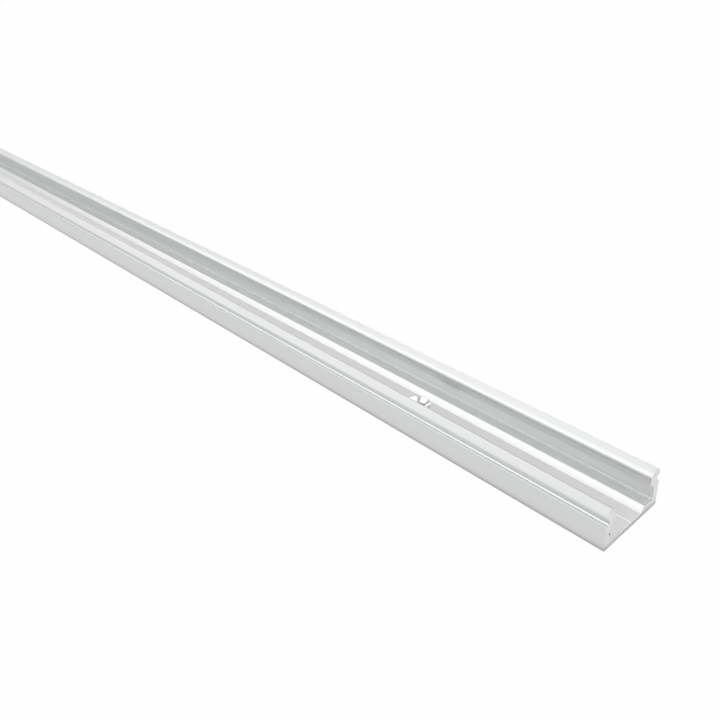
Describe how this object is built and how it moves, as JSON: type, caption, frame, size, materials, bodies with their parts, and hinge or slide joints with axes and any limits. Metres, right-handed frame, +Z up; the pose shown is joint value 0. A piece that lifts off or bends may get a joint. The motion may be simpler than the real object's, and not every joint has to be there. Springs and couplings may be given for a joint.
{
  "type": "aluminium extrusion profile",
  "caption": "Straight aluminium U-channel profile with clip lips along both walls, a stepped floor and countersunk screw holes; carries an LED strip under a clip-on cover.",
  "frame": {"origin": "centre of the flat underside, halfway along the length", "axes": "+X along the length, +Y across the width, +Z up from the underside towards the open side of the channel"},
  "size_m": [1, 0.016, 0.009],
  "materials": {
    "satin_aluminium": "satin anodised, with bare sawn ends"
  },
  "bodies": {
    "root": {"channel_profile": "satin_aluminium"}
  },
  "joints": []
}
